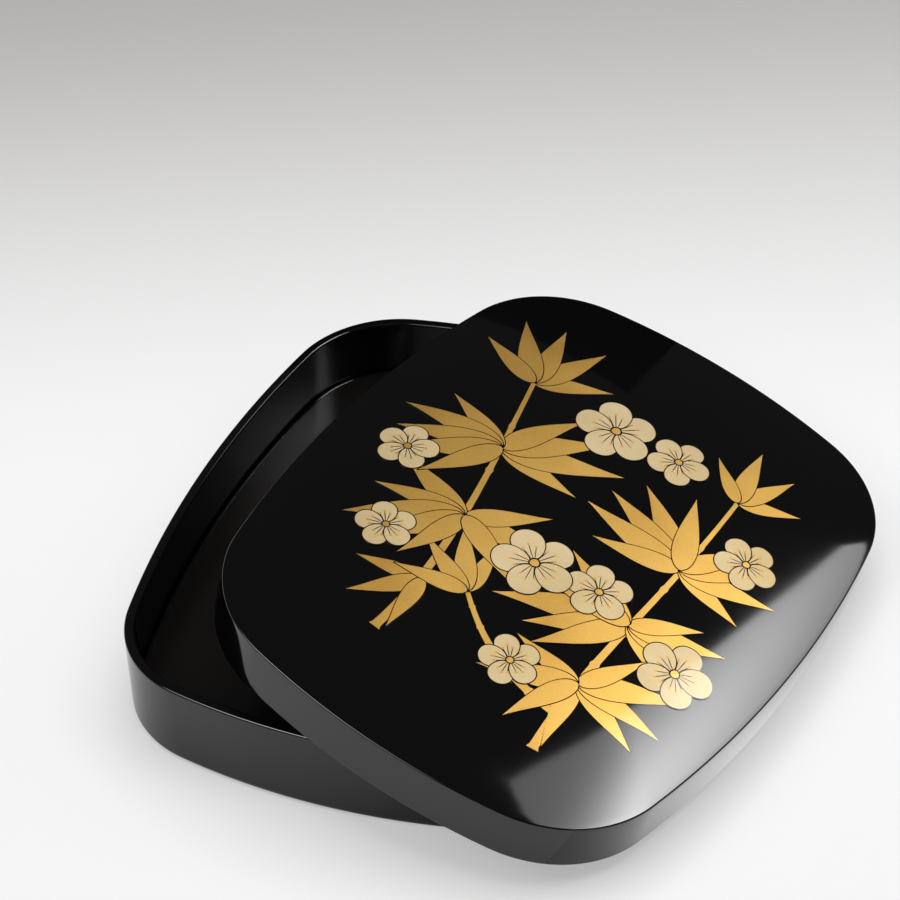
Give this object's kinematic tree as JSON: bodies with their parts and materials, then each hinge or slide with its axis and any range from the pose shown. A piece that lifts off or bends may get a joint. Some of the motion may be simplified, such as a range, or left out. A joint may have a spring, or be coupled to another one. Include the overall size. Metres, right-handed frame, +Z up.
{
  "type": "writing box",
  "caption": "Black lacquered writing box with bowed sides and a domed covering lid leaning askew on it; inkstone, water dropper, brushes and ink stick inside.",
  "frame": {"origin": "middle of the box's underside, on the surface it stands on", "axes": "+X to the writer's right, +Y away from the writer along the box's long side, +Z up"},
  "size_m": [0.2461, 0.251, 0.0699],
  "materials": {
    "lacquer": "black lacquer polished to a mirror gloss over wood",
    "lacquer_inside": "black lacquer, gloss, over wood",
    "slate": "honed slate",
    "bronze": "satin brown bronze",
    "bamboo": "polished bamboo",
    "horn": "polished dark horn",
    "hair": "washed goat hair",
    "ink": "moulded soot and glue, satin"
  },
  "bodies": {
    "box": {"box_wall": "lacquer", "box_floor": "lacquer_inside"},
    "lid": {"lid_skirt": "lacquer", "lid_crown": "lacquer"},
    "base_board": {"base_board": "lacquer_inside", "board_batten_left": "lacquer_inside", "board_batten_right": "lacquer_inside", "brush_rest_front": "lacquer_inside", "brush_rest_back": "lacquer_inside"},
    "inkstone": {"inkstone": "slate"},
    "water_dropper": {"dropper_cup": "bronze", "dropper_top": "bronze"},
    "wide_brush": {"wide_brush_handle": "bamboo", "wide_brush_collar": "horn", "wide_brush_hair": "hair"},
    "fine_brush": {"fine_brush_handle": "bamboo", "fine_brush_collar": "horn", "fine_brush_hair": "hair"},
    "ink_stick": {"ink_stick": "ink"}
  },
  "joints": [
    {"name": "lid_lift", "type": "slide", "parent": "box", "child": "lid", "axis": [0, 0, 1], "range_m": [0, 0.24]},
    {"name": "base_board_lift", "type": "slide", "parent": "box", "child": "base_board", "axis": [0, 0, 1], "range_m": [0, 0.06]},
    {"name": "inkstone_lift", "type": "slide", "parent": "box", "child": "inkstone", "axis": [0, 0, 1], "range_m": [0, 0.12]},
    {"name": "water_dropper_lift", "type": "slide", "parent": "box", "child": "water_dropper", "axis": [0, 0, 1], "range_m": [0, 0.132]},
    {"name": "wide_brush_lift", "type": "slide", "parent": "base_board", "child": "wide_brush", "axis": [0, 0, 1], "range_m": [0, 0.072]},
    {"name": "fine_brush_lift", "type": "slide", "parent": "base_board", "child": "fine_brush", "axis": [0, 0, 1], "range_m": [0, 0.072]},
    {"name": "ink_stick_lift", "type": "slide", "parent": "base_board", "child": "ink_stick", "axis": [0, 0, 1], "range_m": [0, 0.06]}
  ],
  "couplings": [
    {"joint": "base_board_lift", "follows": "lid_lift", "ratio": 0.25},
    {"joint": "inkstone_lift", "follows": "lid_lift", "ratio": 0.5},
    {"joint": "water_dropper_lift", "follows": "lid_lift", "ratio": 0.55},
    {"joint": "wide_brush_lift", "follows": "lid_lift", "ratio": 0.3},
    {"joint": "fine_brush_lift", "follows": "lid_lift", "ratio": 0.3},
    {"joint": "ink_stick_lift", "follows": "lid_lift", "ratio": 0.25}
  ]
}
